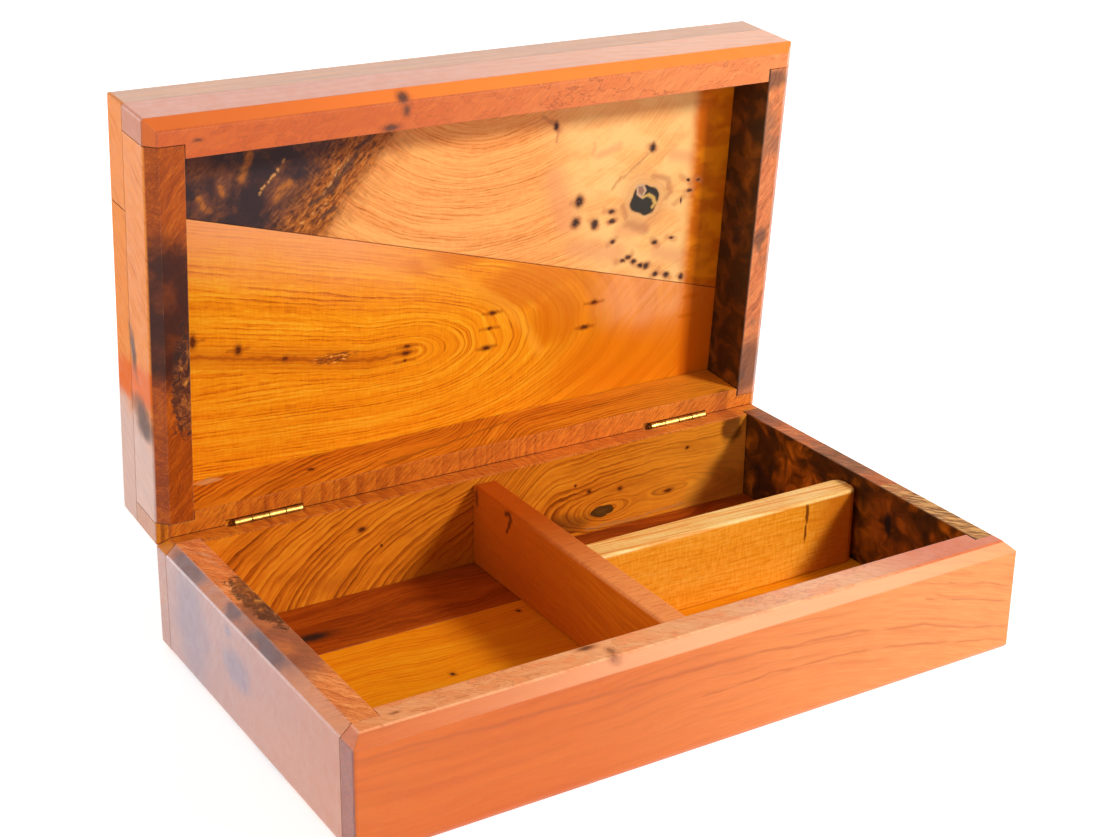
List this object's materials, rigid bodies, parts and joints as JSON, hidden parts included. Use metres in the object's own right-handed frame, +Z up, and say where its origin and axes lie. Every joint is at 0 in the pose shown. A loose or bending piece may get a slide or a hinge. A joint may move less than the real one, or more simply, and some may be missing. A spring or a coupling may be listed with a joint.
{
  "type": "jewelry box",
  "caption": "Rectangular burl wood keepsake box with a hinged lid that opens almost upright and a tray split into compartments by crossing dividers.",
  "frame": {"origin": "centre of the base's underside, on the surface that the box stands on", "axes": "+X along the box to its right end as seen from the front, +Y from the front to the hinged back, +Z up; the row is stored with the lid open, as in the picture"},
  "size_m": [0.25, 0.1793, 0.189],
  "materials": {
    "front_wood": "satin varnish, wavy grain along the board",
    "back_wood": "satin varnish, slanting dark grain with a ringed knot",
    "left_wood": "satin varnish, purple-brown burl patches",
    "right_wood": "satin varnish, dark burl",
    "floor_front_wood": "satin varnish, bright straight grain",
    "floor_back_wood": "satin varnish, dark straight grain",
    "cross_divider_wood": "satin varnish, reddish fine grain",
    "side_divider_wood": "satin varnish, golden fine ripple",
    "lid_front_wood": "satin varnish, wavy grain along the board",
    "lid_back_wood": "satin varnish, slanting dark grain",
    "lid_left_wood": "satin varnish, purple-brown burl patches",
    "lid_right_wood": "satin varnish, dark burl",
    "lid_panel_front_wood": "gloss varnish, burl with knots",
    "lid_panel_back_wood": "gloss varnish, bright ringed grain",
    "hinge_brass": "polished brass"
  },
  "bodies": {
    "base": {"base_front_board": "front_wood", "base_back_board": "back_wood", "base_left_board": "left_wood", "base_right_board": "right_wood", "floor_front_board": "floor_front_wood", "floor_back_board": "floor_back_wood", "cross_divider": "cross_divider_wood", "side_divider": "side_divider_wood", "left_hinge_base_leaf": "hinge_brass", "right_hinge_base_leaf": "hinge_brass", "left_hinge_pin": "hinge_brass", "right_hinge_pin": "hinge_brass"},
    "lid": {"lid_front_board": "lid_front_wood", "lid_back_board": "lid_back_wood", "lid_left_board": "lid_left_wood", "lid_right_board": "lid_right_wood", "lid_panel_front_board": "lid_panel_front_wood", "lid_panel_back_board": "lid_panel_back_wood", "left_hinge_lid_leaf": "hinge_brass", "right_hinge_lid_leaf": "hinge_brass"}
  },
  "joints": [
    {"name": "lid_hinge", "type": "hinge", "parent": "base", "child": "lid", "pos_m": [0, 0.07075, 0.0414], "axis": [1, 0, 0], "range_deg": [0, 85.5]}
  ]
}
